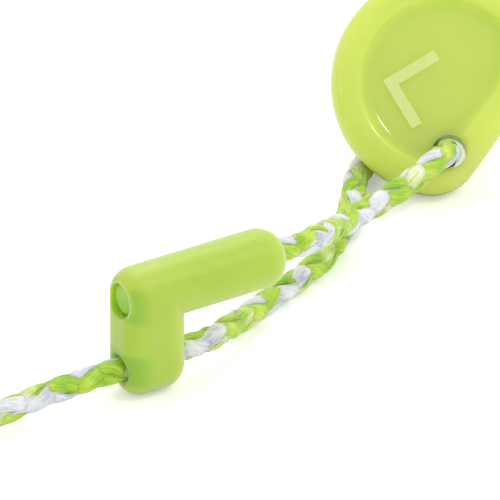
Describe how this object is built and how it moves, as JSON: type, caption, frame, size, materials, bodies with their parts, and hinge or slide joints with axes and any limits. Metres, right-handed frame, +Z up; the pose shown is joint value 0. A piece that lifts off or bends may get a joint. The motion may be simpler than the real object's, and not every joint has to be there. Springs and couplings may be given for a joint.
{
  "type": "corded foam ear plugs",
  "caption": "Pair of reusable foam ear plugs with flat thumb grips, replaceable tips, and a braided neck cord with loop sliders.",
  "frame": {"origin": "on the table, below the middle of the two plugs' box, leaving out the cord and its sliders", "axes": "+Z up from the table; +X the way both slider barrels point, and the long way of the two plugs"},
  "size_m": [0.1572, 0.0627, 0.0209],
  "materials": {
    "grip_plastic": "gloss, translucent",
    "slider_plastic": "frosted, translucent",
    "core_plastic": "satin",
    "foam": "matt open-cell foam skin",
    "fused_cord": "melted end",
    "cord": "green and white braid"
  },
  "bodies": {
    "cord": {"cord_coil": "cord", "left_cord_run": "cord", "right_cord_run": "cord", "left_loop_back": "cord", "right_loop_back": "cord"},
    "left_slider_body": {"left_slider": "slider_plastic", "left_cord_end": "fused_cord", "left_loop_front": "cord"},
    "left_grip_body": {"left_grip": "grip_plastic"},
    "left_tip_body": {"left_foam_tip": "foam", "left_tip_core": "core_plastic"},
    "right_slider_body": {"right_slider": "slider_plastic", "right_cord_end": "fused_cord", "right_loop_front": "cord"},
    "right_grip_body": {"right_grip": "grip_plastic"},
    "right_tip_body": {"right_foam_tip": "foam", "right_tip_core": "core_plastic"}
  },
  "joints": [
    {"name": "left_slider_slide", "type": "slide", "parent": "cord", "child": "left_slider_body", "axis": [-1, 0, 0], "range_m": [0, 0.006], "deforming": ["left_loop_front"]},
    {"name": "left_grip_swing", "type": "hinge", "parent": "cord", "child": "left_grip_body", "pos_m": [0.03193, -0.01851, 0.00429], "axis": [-0.4365, -0.6932, 0.5736], "range_deg": [-40, 40], "deforming": ["left_loop_back"]},
    {"name": "left_tip_pull", "type": "slide", "parent": "left_grip_body", "child": "left_tip_body", "axis": [0.5329, 0.8462, 0], "range_m": [0, 0.014]},
    {"name": "right_slider_slide", "type": "slide", "parent": "cord", "child": "right_slider_body", "axis": [-1, 0, 0], "range_m": [0, 0.006], "deforming": ["right_loop_front"]},
    {"name": "right_grip_swing", "type": "hinge", "parent": "cord", "child": "right_grip_body", "pos_m": [-0.04617, 0.01097, 0.00429], "axis": [-0.8013, -0.1703, 0.5736], "range_deg": [-40, 40], "deforming": ["right_loop_back"]},
    {"name": "right_tip_pull", "type": "slide", "parent": "right_grip_body", "child": "right_tip_body", "axis": [0.9781, 0.2079, 0], "range_m": [0, 0.014]}
  ]
}
